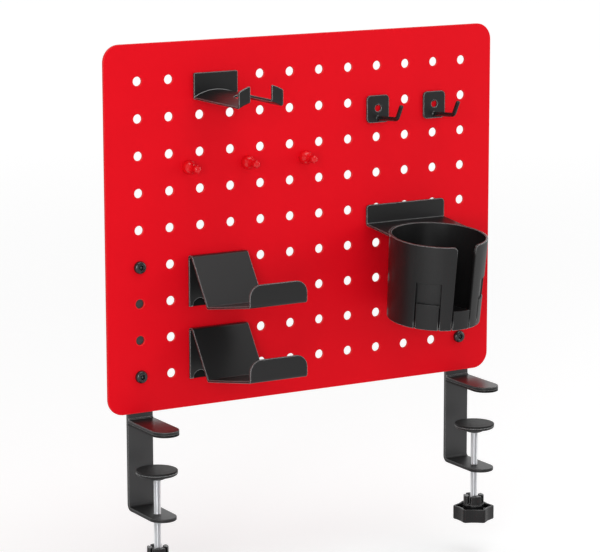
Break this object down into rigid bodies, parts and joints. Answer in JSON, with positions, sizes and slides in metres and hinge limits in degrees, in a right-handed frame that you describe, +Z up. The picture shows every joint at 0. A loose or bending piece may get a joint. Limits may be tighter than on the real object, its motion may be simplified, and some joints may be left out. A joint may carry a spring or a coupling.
{
  "type": "clamp-on desk pegboard organizer",
  "caption": "Perforated steel desk pegboard on screw clamps, with headphone hanger, hooks, cup holder, controller shelves and magnetic pins.",
  "frame": {"origin": "on the plane of the desk top, midway between the two clamps, in the plane of the panel's back", "axes": "+Z up, +Y from the panel's front to its back, +X to the right seen from the front"},
  "size_m": [0.368, 0.1146, 0.427],
  "materials": {
    "red_powder_coat": "semi-gloss powder coat",
    "black_powder_coat": "satin powder coat",
    "black_rubber": "matt",
    "black_nylon": "moulded",
    "zinc_plated_steel": "bright zinc",
    "black_oxide_steel": "oiled black oxide",
    "red_plastic": "gloss",
    "nickel_magnet": "nickel plated"
  },
  "bodies": {
    "root": {"pegboard_panel": "red_powder_coat", "panel_screws": "black_oxide_steel", "panel_nuts": "zinc_plated_steel", "clamp_strap_left": "black_powder_coat", "upper_jaw_left": "black_powder_coat", "jaw_pad_left": "black_rubber", "clamp_strap_right": "black_powder_coat", "upper_jaw_right": "black_powder_coat", "jaw_pad_right": "black_rubber"},
    "disc_left": {"pressure_disc_left": "black_powder_coat", "disc_pad_left": "black_rubber"},
    "screw_left": {"clamp_screw_left": "zinc_plated_steel", "clamp_knob_left": "black_nylon"},
    "disc_right": {"pressure_disc_right": "black_powder_coat", "disc_pad_right": "black_rubber"},
    "screw_right": {"clamp_screw_right": "zinc_plated_steel", "clamp_knob_right": "black_nylon"},
    "hanger": {"headphone_hanger": "black_powder_coat"},
    "hook_l": {"hook_left": "black_powder_coat"},
    "hook_r": {"hook_right": "black_powder_coat"},
    "cup_holder": {"cup_holder_bracket": "black_powder_coat", "cup_holder_wall": "black_powder_coat", "cup_holder_base": "black_powder_coat"},
    "controller_upper": {"controller_holder_upper": "black_powder_coat"},
    "controller_lower": {"controller_holder_lower": "black_powder_coat"},
    "pin_1": {"push_pin_1": "red_plastic", "pin_magnet_1": "nickel_magnet"},
    "pin_2": {"push_pin_2": "red_plastic", "pin_magnet_2": "nickel_magnet"},
    "pin_3": {"push_pin_3": "red_plastic", "pin_magnet_3": "nickel_magnet"}
  },
  "joints": [
    {"name": "disc_left_travel", "type": "slide", "parent": "root", "child": "disc_left", "axis": [0, 0, 1], "range_m": [-0.028, 0.024]},
    {"name": "screw_left_turn", "type": "hinge", "parent": "disc_left", "child": "screw_left", "pos_m": [-0.154, -0.028, -0.056], "axis": [0, 0, 1], "range_deg": [-10082, 8642]},
    {"name": "disc_right_travel", "type": "slide", "parent": "root", "child": "disc_right", "axis": [0, 0, 1], "range_m": [-0.028, 0.024]},
    {"name": "screw_right_turn", "type": "hinge", "parent": "disc_right", "child": "screw_right", "pos_m": [0.154, -0.028, -0.056], "axis": [0, 0, 1], "range_deg": [-10082, 8642]},
    {"name": "hanger_lift", "type": "slide", "parent": "root", "child": "hanger", "axis": [0, 0, 1], "range_m": [0, 0.00325]},
    {"name": "hook_left_lift", "type": "slide", "parent": "root", "child": "hook_l", "axis": [0, 0, 1], "range_m": [0, 0.00325]},
    {"name": "hook_right_lift", "type": "slide", "parent": "root", "child": "hook_r", "axis": [0, 0, 1], "range_m": [0, 0.00325]},
    {"name": "cup_holder_lift", "type": "slide", "parent": "root", "child": "cup_holder", "axis": [0, 0, 1], "range_m": [0, 0.00325]},
    {"name": "controller_upper_lift", "type": "slide", "parent": "root", "child": "controller_upper", "axis": [0, 0, 1], "range_m": [0, 0.00325]},
    {"name": "controller_lower_lift", "type": "slide", "parent": "root", "child": "controller_lower", "axis": [0, 0, 1], "range_m": [0, 0.00325]},
    {"name": "pin_1_pull", "type": "slide", "parent": "root", "child": "pin_1", "axis": [0, -1, 0], "range_m": [0, 0.02]},
    {"name": "pin_2_pull", "type": "slide", "parent": "root", "child": "pin_2", "axis": [0, -1, 0], "range_m": [0, 0.02]},
    {"name": "pin_3_pull", "type": "slide", "parent": "root", "child": "pin_3", "axis": [0, -1, 0], "range_m": [0, 0.02]}
  ],
  "couplings": [
    {"joint": "screw_left_turn", "follows": "disc_left_travel", "rad_per_m": 6283.2},
    {"joint": "screw_right_turn", "follows": "disc_right_travel", "rad_per_m": 6283.2}
  ]
}
